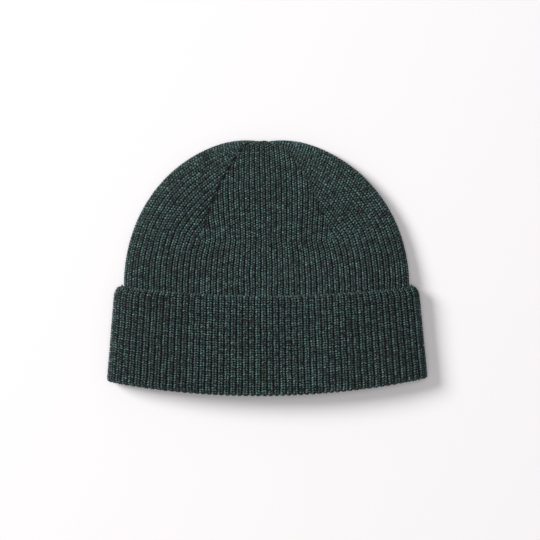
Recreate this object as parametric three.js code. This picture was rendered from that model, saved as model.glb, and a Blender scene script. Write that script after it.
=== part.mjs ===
// A ribbed knit beanie with a turned-up cuff, lying flat on its back.
// Sizes in millimetres, +Z up, the crown's tip towards +Y and the mouth towards -Y.
//
// The cap is described course by course. A course is one closed ring of knitting that runs over the
// front sheet, round one side, back over the rear sheet and round the other side. Heights along the
// cap are measured from the base line, where the straight body ends and the round dome begins.
import * as THREE from "three";

// The fabric
const KNIT = 2.9; // thickness over a rib
const RIB_DEPTH = 0.9; // how far the groove between two ribs lies below them
const RIBS_PER_WEDGE = 26;
const CLEARANCE = 0.3; // between pieces that touch
const PRESS = 1.2; // how far the lowest courses are pressed flat by what the cap lies on

// The crown
const CROWN_WIDTH = 197.2; // across the dome's base line
const DOME_LENGTH = 102.1; // base line to tip
const DOME_SQUARENESS = 2.04; // exponent of the dome's outline, 2 being an ellipse
const CROWN_HOLLOW = 10.8; // clear height inside, at the middle
const SETTLE_LENGTH = 26; // past the cuff, the body comes down to the ground over this length
const BODY_DRIFT = 0.6; // the dome lies this far to the left of the mouth
const TIP_LEAN = 1.7; // the tip lies this far to the left of the dome's middle
const TIP_DIP = 2.1; // the closing gather draws the top edge in this far
const TIP_DIP_REACH = 17;
const TIP_DIP_FADE = 8; // exponent: the dip is felt only close to the tip

// The decreases, which narrow each wedge of ribs from the full count to the last one
const DECREASE_START = 31; // height of the first decrease over the base line, at the front
const LAST_DECREASE_TO_TIP = 4.5;
const DECREASE_BULGE = 0.31; // the first decreases follow each other more slowly than the last
const RIBS_AT_TIP = 4;
const FRONT_SHARE = 0.508; // half the front wedge's width as a share of the body's half-width
const RIB_SPREAD = 0.28; // how much wider the ribs stand half way up the wedge
const RIB_CLOSING = 0.18; // how much narrower they stand at the last decrease
const OUTLINE_ANGLES = { first: 25.6, last: 84 }; // where the first and last course meet the outline
const OUTLINE_TURN = 1.6; // exponent: how early the ones between turn towards the tip

// The body below the base line, and the cuff turned up over it
const BODY_LENGTH = 76.5; // base line to fold, at the middle
const CUFF_DEPTH = 69; // fold to free edge, at the middle
const MOUTH_FLARE = 10.2; // how much each side of the body widens down to the fold
const CUFF_STANDOFF = 3.4; // how far the cuff's free edge stands off the body at each side
const MOUTH_HOLLOW = 8.6; // clear height inside, at the middle
const LEG_LENGTH = 12; // fold to where the cuff's inner turn meets the body
const EDGE_ROUNDING = 0.9; // at the free edge of the cuff
const CORNER_REACH = 8; // below the free edge, the cuff's sides start to round in
const CORNER_DRAW = 4.4; // and at the edge they have come in this far
const CORNER_FADE = 8; // exponent: how close to the sides the rounding stays

// How far a course's ends lie above its middle
const BOW_AT_MOUTH = 10.4;
const BOW_AT_BASE = 6.4;
const BOW_GROWTH = 1.5; // exponent: how late the bow grows between the base line and the decreases
const WEDGE_ONSET = 0.2; // share of that height at which the level front wedge starts to show
const MOUTH_TILT = 1.2; // the right end of the fold lies this much higher than the middle of both

// The closing gather
const GATHER_WIDTH = 5.4;
const GATHER_THICKNESS = 1.8;
const GATHER_FLATNESS = 0.5; // its height as a share of its width
const GATHER_LOBES = 8;
const LOBE_GROOVE = 0.14; // share of its radius that is lost between two lobes
const GATHER_SINK = 0.8; // how far its middle lies below the rim of the dimple that it sits in
const SEAT_RIM = 2; // how far that dimple reaches past it

// How full the loft is: exponents of the front sheet's and the rear sheet's cross-section
const FRONT_FULLNESS = 2.8;
const REAR_FULLNESS = 5;
const SIDE_HEIGHT_SHARE = 0.45; // height of the side edges as a share of the loft

// Soft dents in the front sheet. Side and height are shares of the dome's half-width and length, reach
// is a share of its half-width, and depth is a share of the knit's thickness.
const DENTS = [
  { side: -0.46, height: 0.31, reach: 0.13, depth: 0.42 },
  { side: 0.42, height: 0.27, reach: 0.17, depth: 0.35 },
  { side: 0.16, height: 0.93, reach: 0.08, depth: 0.25 },
  { side: -0.09, height: 0.9, reach: 0.07, depth: 0.25 },
];

const halfCrown = CROWN_WIDTH / 2;
const degrees = Math.PI / 180;

function mix(a, b, share) {
  return a + (b - a) * share;
}

function smooth(from, to, value) {
  return THREE.MathUtils.smoothstep(value, from, to);
}

// Courses

// The cap's half-width at a height: the dome's outline above the base line, a flare below it.
function bodyHalfWidth(height) {
  if (height <= 0) return halfCrown + MOUTH_FLARE * (-height / BODY_LENGTH);
  const rise = Math.min(height / DOME_LENGTH, 1);
  return halfCrown * (1 - rise ** DOME_SQUARENESS) ** (1 / DOME_SQUARENESS);
}

// The point of the dome's outline at an angle over the base line.
function outlineAt(angle) {
  const power = 2 / DOME_SQUARENESS;
  return {
    side: halfCrown * Math.cos(angle * degrees) ** power,
    height: DOME_LENGTH * Math.sin(angle * degrees) ** power,
  };
}

function standoff(height) {
  return CUFF_STANDOFF * THREE.MathUtils.clamp(1 + height / BODY_LENGTH, 0, 1);
}

const freeEdge = CUFF_DEPTH - BODY_LENGTH;
const firstEnd = outlineAt(OUTLINE_ANGLES.first);

// How far the side of the cuff is drawn in where its upper corner is rounded.
function cornerDraw(front) {
  const past = THREE.MathUtils.clamp(1 - (freeEdge - front) / CORNER_REACH, 0, 1);
  return CORNER_DRAW * (1 - Math.sqrt(1 - past ** 2));
}

// How far to the left of the mouth's middle the cap's middle lies at a height.
function leanAt(height) {
  const drift = BODY_DRIFT * THREE.MathUtils.clamp(1 + height / BODY_LENGTH, 0, 1);
  return drift + TIP_LEAN * (Math.max(height, 0) / DOME_LENGTH) ** 2;
}

// Loft of the two layers: where the middle of each sheet lies above the ground before it is pressed.
// In the band that the cuff covers, the body lies on the cuff's rear layer, and past it comes down.
function bodyLoft(front) {
  const covered = 1 - smooth(freeEdge + EDGE_ROUNDING, freeEdge + SETTLE_LENGTH, front);
  const base = mix(0, KNIT + CLEARANCE, covered) - PRESS;
  const top = base + 2 * KNIT + mix(CROWN_HOLLOW, MOUTH_HOLLOW, covered);
  return { base, top };
}

function cuffLoft(front) {
  const inner = bodyLoft(Math.min(front, freeEdge));
  return { base: inner.base - KNIT - CLEARANCE, top: inner.top + KNIT + CLEARANCE };
}

// A course of the body or the cuff. Its front is the height of its middle, its end the point where it
// meets the outline, and its corner the side place of the line between the front wedge and a side one.
function straightCourse(front, layer) {
  const below = Math.max(-front, 0) / BODY_LENGTH;
  const above = Math.max(front, 0) / DECREASE_START;
  const bow = front < 0
    ? mix(BOW_AT_BASE, BOW_AT_MOUTH, below)
    : mix(BOW_AT_BASE, firstEnd.height - DECREASE_START, above ** BOW_GROWTH);
  const end = front + bow;
  return {
    front,
    ribs: RIBS_PER_WEDGE,
    corner: FRONT_SHARE * bodyHalfWidth(end),
    end: { side: bodyHalfWidth(end), height: end },
    wedged: smooth(WEDGE_ONSET, 1, above),
    tilt: MOUTH_TILT * below,
    layer,
    loft: layer === "cuff" ? cuffLoft(front) : bodyLoft(front),
  };
}

// A course of the dome, by the number of ribs that are left in each wedge. The front wedge is level,
// and each side wedge runs up from its corner to the outline.
function domeCourse(ribs) {
  const progress = (RIBS_PER_WEDGE - ribs) / (RIBS_PER_WEDGE - RIBS_AT_TIP);
  const climbed = progress + DECREASE_BULGE * progress * (1 - progress);
  const front = mix(DECREASE_START, DOME_LENGTH - LAST_DECREASE_TO_TIP, climbed);
  const firstPitch = (2 * FRONT_SHARE * firstEnd.side) / RIBS_PER_WEDGE;
  const pitch = firstPitch + RIB_SPREAD * Math.sin(Math.PI * progress) - RIB_CLOSING * progress;
  const turned = 1 - (1 - progress) ** OUTLINE_TURN;
  return {
    front,
    ribs,
    corner: (ribs * pitch) / 2,
    end: outlineAt(mix(OUTLINE_ANGLES.first, OUTLINE_ANGLES.last, turned)),
    wedged: 1,
    tilt: 0,
    layer: "body",
    loft: bodyLoft(front),
  };
}

// The plan place of a point that lies a share of the way from the course's middle to its end.
function planPoint(course, share) {
  const side = course.end.side * share;
  const rise = course.end.height - course.front;
  const bowed = rise * share ** 2;
  const pastCorner = Math.max(side - course.corner, 0) / (course.end.side - course.corner);
  return { side, height: course.front + mix(bowed, rise * pastCorner, course.wedged) };
}

// How far out a plan place is: 0 on the middle of the base line, 1 on the outline.
function fullness(side, height) {
  if (height <= 0) return side / bodyHalfWidth(height);
  const across = (side / halfCrown) ** DOME_SQUARENESS;
  const along = (height / DOME_LENGTH) ** DOME_SQUARENESS;
  return (across + along) ** (1 / DOME_SQUARENESS);
}

function dentDepth(side, height) {
  let depth = 0;
  for (const dent of DENTS) {
    const across = side / halfCrown - dent.side;
    const along = (height / DOME_LENGTH - dent.height) * (DOME_LENGTH / halfCrown);
    depth += dent.depth * KNIT * Math.exp(-(across ** 2 + along ** 2) / dent.reach ** 2);
  }
  return depth;
}

// The point of a course at an angle round it, 0 at the front's middle and a quarter turn at the right
// side, at a depth below the layer's outer face. The sheets are superellipses in cross-section, each
// inner face being the outer one with its width, length and loft drawn in by the depth.
function surfacePoint(course, angle, depth) {
  const share = Math.min(Math.abs(Math.sin(angle)), 1);
  const hand = Math.sign(Math.sin(angle));
  const inFront = Math.cos(angle) >= 0;
  const plan = planPoint(course, share);
  const out = Math.min(fullness(plan.side, plan.height), 1);
  const above = Math.max(plan.height, 0);
  const drawn = cornerDraw(course.front) * share ** CORNER_FADE;
  const extra = course.layer === "cuff" ? standoff(plan.height) + CLEARANCE + KNIT - drawn : 0;
  const half = bodyHalfWidth(Math.min(plan.height, 0));
  const side = plan.side * ((half + extra - depth) / half);
  const height = Math.min(plan.height, 0) + above * ((DOME_LENGTH - depth) / DOME_LENGTH);

  const { base, top } = course.loft;
  const edge = mix(base, top, SIDE_HEIGHT_SHARE);
  const power = inFront ? FRONT_FULLNESS : REAR_FULLNESS;
  const round = (1 - out ** power) ** (1 / power);
  const front = edge + (top - depth - edge) * round - dentDepth(hand * side, height) * round;
  const rear = edge - (edge - base - depth) * round;

  const up = height / DOME_LENGTH;
  const felt = height > 0 ? up ** TIP_DIP_FADE : 0;
  const dip = TIP_DIP * felt * Math.exp(-((side / TIP_DIP_REACH) ** 2));
  const tilt = course.tilt * hand * share;
  return new THREE.Vector3(
    hand * side - leanAt(height),
    height + tilt - dip,
    Math.max(inFront ? front : rear, 0),
  );
}

// The angles of a course's rib grooves and rib tops, evenly spaced by length within each wedge. Each
// has a key that puts the wedges in order and counts half ribs from the middle of its own wedge.
const WEDGE_KEY = 100;
const WEDGE_SAMPLES = 160;

function courseAngles(course) {
  const cornerAngle = Math.asin(Math.min(course.corner / course.end.side, 1));
  const corners = [-cornerAngle, cornerAngle, Math.PI - cornerAngle, Math.PI + cornerAngle];
  corners.push(2 * Math.PI - cornerAngle);
  const angles = [];
  for (let wedge = 0; wedge + 1 < corners.length; wedge++) {
    const lengths = [0];
    let last = surfacePoint(course, corners[wedge], 0);
    for (let sample = 1; sample <= WEDGE_SAMPLES; sample++) {
      const point = surfacePoint(course, mix(corners[wedge], corners[wedge + 1], sample / WEDGE_SAMPLES), 0);
      lengths.push(lengths[sample - 1] + point.distanceTo(last));
      last = point;
    }
    let sample = 0;
    for (let half = -course.ribs; half < course.ribs; half++) {
      const wanted = (lengths[WEDGE_SAMPLES] * (half + course.ribs)) / (2 * course.ribs);
      while (lengths[sample + 1] < wanted) sample++;
      const past = (wanted - lengths[sample]) / (lengths[sample + 1] - lengths[sample]);
      const key = half === -course.ribs ? (wedge - 0.5) * WEDGE_KEY : wedge * WEDGE_KEY + half;
      const angle = mix(corners[wedge], corners[wedge + 1], (sample + past) / WEDGE_SAMPLES);
      angles.push({ key, angle, groove: (half + course.ribs) % 2 === 0 });
    }
  }
  return angles;
}

// A ring of vertices on a course. A ribbed ring has a vertex on every groove and every rib top, and a
// plain ring has one on each groove.
function ring(course, depth, ribbed) {
  return courseAngles(course)
    .filter((place) => ribbed || place.groove)
    .map(({ key, angle, groove }) => ({
      key,
      point: surfacePoint(course, angle, ribbed && groove ? depth + RIB_DEPTH : depth),
    }));
}

// Solids from rings

// Joins two rings that run the same way round with triangles, point by point in the order of keys.
function joinRings(lower, upper, corners) {
  const keyAt = (points, index) =>
    index < points.length ? points[index].key : points[0].key + 4 * WEDGE_KEY;
  const pointAt = (points, index) => points[index % points.length].point;
  let i = 0;
  let j = 0;
  while (i < lower.length || j < upper.length) {
    const nextLower = i < lower.length ? keyAt(lower, i + 1) : Infinity;
    const nextUpper = j < upper.length ? keyAt(upper, j + 1) : Infinity;
    if (nextLower <= nextUpper) {
      corners.push(pointAt(lower, i), pointAt(lower, i + 1), pointAt(upper, j));
      i++;
    } else {
      corners.push(pointAt(lower, i), pointAt(upper, j + 1), pointAt(upper, j));
      j++;
    }
  }
}

function closeRing(points, centre, corners, upwards) {
  points.forEach(({ point }, index) => {
    const next = points[(index + 1) % points.length].point;
    if (upwards) corners.push(point, next, centre);
    else corners.push(next, point, centre);
  });
}

function solid(name, corners, material) {
  const geometry = new THREE.BufferGeometry().setFromPoints(corners);
  geometry.computeVertexNormals();
  const mesh = new THREE.Mesh(geometry, material);
  mesh.name = name;
  return mesh;
}

// Pieces

const domeRibs = [];
for (let ribs = RIBS_PER_WEDGE; ribs >= RIBS_AT_TIP; ribs -= 2) domeRibs.push(ribs);

const tipHeight = DOME_LENGTH - TIP_DIP;
const tipLoft = bodyLoft(DOME_LENGTH);
const tipLevel = mix(tipLoft.base, tipLoft.top, SIDE_HEIGHT_SHARE);
const seatWidth = GATHER_WIDTH + 2 * SEAT_RIM;
const seatDepth = GATHER_SINK + GATHER_THICKNESS / 2 + 3 * CLEARANCE;

// A point of a flat oval round the tip, at an angle from its top and a depth below the top edge.
function tipOval(width, angle, depth) {
  return new THREE.Vector3(
    (width / 2) * Math.sin(angle) - leanAt(DOME_LENGTH),
    tipHeight - depth,
    tipLevel + GATHER_FLATNESS * (width / 2) * Math.cos(angle),
  );
}

// The body and dome in one piece, from its lower edge on the cuff's inner turn to the tip.
function makeCrown(material) {
  const lowerEdge = LEG_LENGTH - BODY_LENGTH + CLEARANCE;
  const coveredEnd = freeEdge - 3 * KNIT;
  const domeCourses = domeRibs.map(domeCourse);
  const bodyCourse = (front) => straightCourse(front, "body");
  const shown = [freeEdge - KNIT, freeEdge + 2 * KNIT, 0.26 * DECREASE_START, 0.62 * DECREASE_START];

  const outer = [ring(bodyCourse(lowerEdge), 0, false), ring(bodyCourse(coveredEnd), 0, false)];
  for (const front of shown) outer.push(ring(bodyCourse(front), 0, true));
  for (const course of domeCourses) outer.push(ring(course, 0, true));

  const last = outer[outer.length - 1];
  const firstAngle = (-RIBS_AT_TIP / last.length) * 2 * Math.PI;
  outer.push(last.map(({ key }, index) => {
    const angle = firstAngle + (index / last.length) * 2 * Math.PI;
    return { key, point: tipOval(seatWidth, angle, RIB_DEPTH / 2) };
  }));

  const inner = [ring(bodyCourse(lowerEdge), KNIT, false)];
  for (const front of [freeEdge, shown[1], shown[3]]) inner.push(ring(bodyCourse(front), KNIT, false));
  for (const course of domeCourses) inner.push(ring(course, KNIT, false));

  const corners = [];
  for (let k = 0; k + 1 < outer.length; k++) joinRings(outer[k], outer[k + 1], corners);
  const tipFloor = tipOval(0, 0, seatDepth);
  closeRing(outer[outer.length - 1], tipFloor, corners, true);
  for (let k = 0; k + 1 < inner.length; k++) joinRings(inner[k + 1], inner[k], corners);
  joinRings(inner[0], outer[0], corners);
  const innerTip = tipOval(0, 0, seatDepth + KNIT / 2);
  closeRing(inner[inner.length - 1], innerTip, corners, false);
  return solid("crown", corners, material);
}

// The cuff: its outer layer, the fold at the mouth, and the short inner turn that meets the body.
function makeCuff(material) {
  const fold = -BODY_LENGTH;
  const foldRadius = KNIT + CLEARANCE / 2;
  const legTop = fold + LEG_LENGTH;
  const slotEnd = fold + KNIT;
  const ringAt = (front, depth, ribbed) => ring(straightCourse(front, "cuff"), depth, ribbed);
  const foldRing = (angle, ribbed) => {
    const front = fold + foldRadius * (1 - Math.sin(angle * degrees));
    return ringAt(front, foldRadius * (1 - Math.cos(angle * degrees)), ribbed);
  };

  const section = [
    ringAt(freeEdge, KNIT / 2, false),
    ringAt(freeEdge - EDGE_ROUNDING, 0, true),
    ringAt(freeEdge - 0.4 * CORNER_REACH, 0, true),
    ringAt(freeEdge - CORNER_REACH, 0, true),
    foldRing(0, true),
    foldRing(45, true),
    foldRing(90, false),
    foldRing(135, false),
    ringAt(fold + foldRadius, 2 * foldRadius, false),
    ringAt(legTop, 2 * foldRadius, false),
    ringAt(legTop, KNIT + CLEARANCE, false),
    ringAt(slotEnd, KNIT + CLEARANCE, false),
    ringAt(slotEnd, KNIT, false),
    ringAt(freeEdge - CORNER_REACH, KNIT, false),
    ringAt(freeEdge - EDGE_ROUNDING, KNIT, false),
  ];
  const corners = [];
  section.forEach((upper, k) => joinRings(section[(k + 1) % section.length], upper, corners));
  return solid("cuff", corners, material);
}

// The last stitches drawn together: a small lobed button that sits in the dimple at the tip.
function makeGather(material) {
  const count = 2 * GATHER_LOBES;
  const depthAt = (along) => GATHER_SINK - (GATHER_THICKNESS / 2) * along;
  const lobedRing = (along, share) => {
    const points = [];
    for (let k = 0; k < count; k++) {
      const width = GATHER_WIDTH * share * (k % 2 === 0 ? 1 : 1 - LOBE_GROOVE);
      const point = tipOval(width, (k / count) * 2 * Math.PI, depthAt(along));
      points.push({ key: (k / count) * 4 * WEDGE_KEY, point });
    }
    return points;
  };
  const rings = [lobedRing(-0.7, 0.7), lobedRing(0, 1), lobedRing(0.7, 0.7)];
  const corners = [];
  joinRings(rings[0], rings[1], corners);
  joinRings(rings[1], rings[2], corners);
  closeRing(rings[2], tipOval(0, 0, depthAt(1)), corners, true);
  closeRing(rings[0], tipOval(0, 0, depthAt(-1)), corners, false);
  return solid("closing_gather", corners, material);
}

const wool = new THREE.MeshStandardMaterial({ color: 0x2c3836, roughness: 0.95, metalness: 0 });
const cuffWool = wool.clone();
const gatherWool = wool.clone();

const beanie = new THREE.Group();
beanie.add(makeCrown(wool), makeCuff(cuffWool), makeGather(gatherWool));

// The frame's origin is at the middle of the cap's underside.
const bounds = new THREE.Box3().setFromObject(beanie);
const middle = bounds.getCenter(new THREE.Vector3());
beanie.position.set(-middle.x, -middle.y, -bounds.min.z);

export default beanie;
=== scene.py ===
"""Dresses the solid parts of a ribbed wool beanie, lying flat with its cuff turned up, stitch by stitch.

The cap is worked out course by course, as it is knitted. A course is one closed ring that runs over
the front sheet, round the right side, back over the rear sheet and round the left side. Heights along
the cap are measured from the base line, where the straight body ends and the round dome begins.
"""

import math
from dataclasses import dataclass, fields

import bpy
import numpy as np
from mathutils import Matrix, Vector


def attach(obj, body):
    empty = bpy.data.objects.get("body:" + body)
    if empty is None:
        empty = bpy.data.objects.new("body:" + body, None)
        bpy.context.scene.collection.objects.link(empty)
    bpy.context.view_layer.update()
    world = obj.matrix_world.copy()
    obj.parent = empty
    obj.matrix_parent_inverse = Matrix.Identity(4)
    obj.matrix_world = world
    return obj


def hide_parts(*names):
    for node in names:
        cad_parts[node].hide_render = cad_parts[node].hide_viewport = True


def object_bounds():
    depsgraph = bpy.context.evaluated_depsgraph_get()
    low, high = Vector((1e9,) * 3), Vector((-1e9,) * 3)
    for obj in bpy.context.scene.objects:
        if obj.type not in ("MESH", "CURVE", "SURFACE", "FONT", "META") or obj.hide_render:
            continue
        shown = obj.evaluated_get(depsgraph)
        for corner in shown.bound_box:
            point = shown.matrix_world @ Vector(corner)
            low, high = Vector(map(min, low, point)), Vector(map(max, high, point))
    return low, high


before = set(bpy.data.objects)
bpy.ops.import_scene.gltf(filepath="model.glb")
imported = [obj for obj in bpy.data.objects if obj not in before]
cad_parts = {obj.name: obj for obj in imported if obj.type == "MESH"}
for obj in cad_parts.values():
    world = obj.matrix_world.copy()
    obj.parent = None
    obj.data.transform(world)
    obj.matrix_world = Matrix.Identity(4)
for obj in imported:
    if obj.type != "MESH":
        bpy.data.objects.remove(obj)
SOLID_BOUNDS = [list(corner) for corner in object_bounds()]

bl_info = {
    "name": "Ribbed beanie",
    "version": (1, 0, 0),
    "blender": (4, 5, 0),
    "location": "3D View > Sidebar > Beanie",
    "description": "Knits a ribbed beanie with a turned-up cuff around its solid parts",
    "category": "Add Mesh",
}

MM = 0.001

# The fabric, as the solid parts have it
KNIT = 2.9 * MM
RIB_DEPTH = 0.9 * MM
CLEARANCE = 0.3 * MM
PRESS = 1.2 * MM
RIBS_PER_WEDGE = 26
WEDGES = 4

# The crown and its decreases
HALF_CROWN = 98.6 * MM
DOME_LENGTH = 102.1 * MM
DOME_SQUARENESS = 2.04
CROWN_HOLLOW = 10.8 * MM
SETTLE_LENGTH = 26 * MM
TIP_LEAN = 1.7 * MM
TIP_DIP = 2.1 * MM
TIP_DIP_REACH = 17 * MM
TIP_DIP_FADE = 8
DECREASE_START = 31 * MM
LAST_DECREASE_TO_TIP = 4.5 * MM
DECREASE_BULGE = 0.31
RIBS_AT_TIP = 8
FRONT_SHARE = 0.508
RIB_SPREAD = 0.28 * MM
RIB_CLOSING = 0.18 * MM
OUTLINE_ANGLES = (math.radians(25.6), math.radians(75.5))
OUTLINE_TURN = 1.6

# The body and cuff
BODY_LENGTH = 76.5 * MM
CUFF_DEPTH = 69 * MM
MOUTH_FLARE = 10.2 * MM
BODY_DRIFT = 0.6 * MM
CUFF_STANDOFF = 3.4 * MM
MOUTH_HOLLOW = 8.6 * MM
LEG_LENGTH = 12 * MM
CORNER_REACH = 8 * MM
CORNER_DRAW = 4.4 * MM
CORNER_FADE = 8
FREE_EDGE = CUFF_DEPTH - BODY_LENGTH
FOLD_RADIUS = KNIT + CLEARANCE / 2

# How a course bows
BOW_AT_MOUTH = 10.4 * MM
BOW_AT_BASE = 6.4 * MM
BOW_GROWTH = 1.5
WEDGE_ONSET = 0.2
MOUTH_TILT = 1.2 * MM

# The loft of the sheets
FRONT_FULLNESS = 2.8
REAR_FULLNESS = 5
SIDE_HEIGHT_SHARE = 0.45

# Soft dents in the front sheet: side and height as shares of the dome, reach and depth of its
# half-width and of the knit
DENTS = np.array(
    [
        (-0.46, 0.31, 0.13, 0.42),
        (0.42, 0.27, 0.17, 0.35),
        (0.16, 0.93, 0.08, 0.25),
        (-0.09, 0.90, 0.07, 0.25),
    ],
    dtype=[("side", float), ("height", float), ("reach", float), ("depth", float)],
)

# Grooves along the decreases: their depth, their reach in half ribs, and for each wedge the strength
# at its left and right side at the first decrease and at the tip
# The strength also sets how much painted shade darkens the legs down in a groove.
GROOVE_DEPTH = 1.1 * MM
GROOVE_REACH = 0.5
GROOVES = np.array(
    [
        ((0.6, 0.25), (0.85, 0.35)),
        ((0.3, 0.4), (0.4, 0.4)),
        ((0.4, 0.4), (0.4, 0.4)),
        ((0.4, 0.5), (0.4, 0.7)),
    ]
)

# The size of the closing gather and its seat
GATHER_WIDTH = 5.4 * MM
GATHER_THICKNESS = 1.8 * MM
GATHER_FLATNESS = 0.5
GATHER_SINK = 0.8 * MM
CLOSING_BULGE = 0.9 * MM
SEAT_RIM = 2 * MM
SEAT_WIDTH = GATHER_WIDTH + 2 * SEAT_RIM
SEAT_DEPTH = GATHER_SINK + GATHER_THICKNESS / 2 + 3 * CLEARANCE

ORIGIN_SHIFT = SOLID_BOUNDS[0][1] + BODY_LENGTH
WEDGE_NAMES = ("front", "right", "rear", "left")


def mix(a, b, share):
    return a + (b - a) * share


def smooth(low, high, value):
    share = np.clip((value - low) / (high - low), 0, 1)
    return share * share * (3 - 2 * share)


# Settings


def length_setting(name, description, default):
    return bpy.props.FloatProperty(
        name=name, description=description, default=default, subtype="DISTANCE", unit="LENGTH"
    )


def angle_setting(name, description, degrees):
    return bpy.props.FloatProperty(
        name=name, description=description, default=math.radians(degrees), subtype="ANGLE", unit="ROTATION"
    )


def share_setting(name, description, default):
    return bpy.props.FloatProperty(name=name, description=description, default=default, subtype="FACTOR")


def power_setting(name, description, default):
    return bpy.props.FloatProperty(name=name, description=description, default=default, unit="POWER")


def colour_setting(name, description, default):
    return bpy.props.FloatVectorProperty(
        name=name, description=description, default=default, subtype="COLOR", size=3
    )


class BeanieKnitSettings(bpy.types.PropertyGroup):
    """Sizes of the stitches. A leg's thickness is a share of the height of its row."""

    row_pitch: length_setting("Row pitch", "Height of one row of stitches", 1.66 * MM)
    side_row_pitch: length_setting(
        "Side row pitch", "Height of one row in the side wedges of the dome", 1.95 * MM
    )
    crown_leg_thickness: share_setting("Crown leg thickness", "Thickness of one leg on the crown", 0.9)
    side_leg_thickness: share_setting(
        "Side leg thickness", "Thickness of one leg in the crown's side wedges", 1.06
    )
    cuff_leg_thickness: share_setting("Cuff leg thickness", "Thickness of one leg on the cuff", 0.7)
    leg_cover: share_setting(
        "Leg cover", "Part of half a rib that one leg covers, with its ends tucked in beyond it", 1.18
    )
    side_leg_cover: share_setting(
        "Side leg cover", "Part of half a rib that one leg covers in the crown's side wedges", 1.08
    )
    crown_leg_slant: angle_setting(
        "Crown leg slant", "Lean of a leg on the crown away from the rib's line", 55
    )
    cuff_leg_slant: angle_setting("Cuff leg slant", "Lean of a leg on the cuff away from the rib's line", 58)
    crown_skew: angle_setting(
        "Crown skew", "How far both legs of a stitch on the crown lean over to the right", 7
    )
    crown_stagger: share_setting(
        "Crown stagger", "How far a stitch's right leg stands above its left one on the crown, in rows", 0.45
    )
    cuff_stagger: share_setting(
        "Cuff stagger", "How far a stitch's right leg stands above its left one on the cuff, in rows", 0.05
    )
    leg_dive: angle_setting(
        "Leg dive", "How far each leg dives under the stitch that is knitted on it", 14
    )
    crown_leg_roll: angle_setting(
        "Crown leg roll", "How far a leg on the crown turns down to the side of its rib", 14
    )
    cuff_leg_roll: angle_setting(
        "Cuff leg roll", "How far a leg on the cuff turns down to the side of its rib", 15
    )
    bed_depth: length_setting(
        "Bed depth", "How far the fabric between the ribs lies below them", 1.1 * MM
    )
    wander: share_setting("Wander", "How far the ribs stray from their even places, in half ribs", 0.16)
    unevenness: share_setting(
        "Unevenness", "How much the stitches differ from each other in place and size", 0.15
    )


class BeanieYarnSettings(bpy.types.PropertyGroup):
    """Colours and surface of the yarn."""

    # Deep is painted shade: a near-black that the wool's colour goes to between the ribs, low on the legs and
    # inside the cap, where shade falls
    deep: colour_setting("Deep", "Colour down between the ribs", (0.0030, 0.0034, 0.0032))
    dark: colour_setting("Dark", "Darkest fibres of the heathered yarn", (0.006, 0.014, 0.0135))
    light: colour_setting("Light", "Lightest fibres of the heathered yarn", (0.205, 0.435, 0.340))
    cool: colour_setting("Cool", "Bluer fibres that take the light ones' place", (0.170, 0.350, 0.400))
    fleck: colour_setting("Fleck", "Warm brown fibres that show here and there", (0.110, 0.100, 0.085))
    roughness: share_setting("Roughness", "Roughness of the wool", 0.92)
    sheen: share_setting("Sheen", "Soft light that the fibres' ends catch", 0.08)


class BeanieStageSettings(bpy.types.PropertyGroup):
    """Floor, light and camera."""

    view_width: length_setting("View width", "Width of what the camera sees at the cap", 373.7 * MM)
    view_distance: length_setting("View distance", "Height of the camera over the cap", 1.7)
    floor_colour: colour_setting("Floor colour", "Colour of the pale ground", (0.81, 0.785, 0.793))
    key_power: power_setting("Key power", "Power of the large soft light at the upper left", 275.0)
    top_power: power_setting("Top power", "Power of the light straight over the cap", 33.0)
    fill_strength: share_setting("Fill strength", "Strength of the even light from all round", 0.25)


# Courses


@dataclass
class Courses:
    """Courses as arrays of one length. See straight_courses and dome_courses."""

    front: np.ndarray
    ribs: np.ndarray
    corner: np.ndarray
    side: np.ndarray
    height: np.ndarray
    wedged: np.ndarray
    tilt: np.ndarray
    base: np.ndarray
    top: np.ndarray
    layer: np.ndarray

    def spread(self, dimensions):
        """The same courses with trailing axes of length 1, to work with arrays of more dimensions."""
        shape = (-1,) + (1,) * (dimensions - 1)
        return Courses(*(getattr(self, f.name).reshape(shape) for f in fields(self)))


def joined(first, second):
    """Two sets of arrays of one kind as one set, the second after the first."""
    both = ((getattr(first, f.name), getattr(second, f.name)) for f in fields(first))
    return type(first)(*(np.concatenate(pair) for pair in both))


def body_half_width(height):
    """Half-width at a height: a superellipse over the base line, and a straight flare below it."""
    rise = np.clip(height / DOME_LENGTH, 0, 1)
    dome = HALF_CROWN * (1 - rise**DOME_SQUARENESS) ** (1 / DOME_SQUARENESS)
    return dome + MOUTH_FLARE * np.clip(-height / BODY_LENGTH, 0, None)


def outline_at(angle):
    """The dome's outline, side and height, at an angle over the base line."""
    power = 2 / DOME_SQUARENESS
    return HALF_CROWN * np.cos(angle) ** power, DOME_LENGTH * np.sin(angle) ** power


def body_loft(front):
    """Underside and top of the body before the ground presses it, by how far the cuff covers it."""
    covered = 1 - smooth(FREE_EDGE + 0.9 * MM, FREE_EDGE + SETTLE_LENGTH, front)
    base = (KNIT + CLEARANCE) * covered - PRESS
    top = base + 2 * KNIT + mix(CROWN_HOLLOW, MOUTH_HOLLOW, covered)
    return base, top


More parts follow.
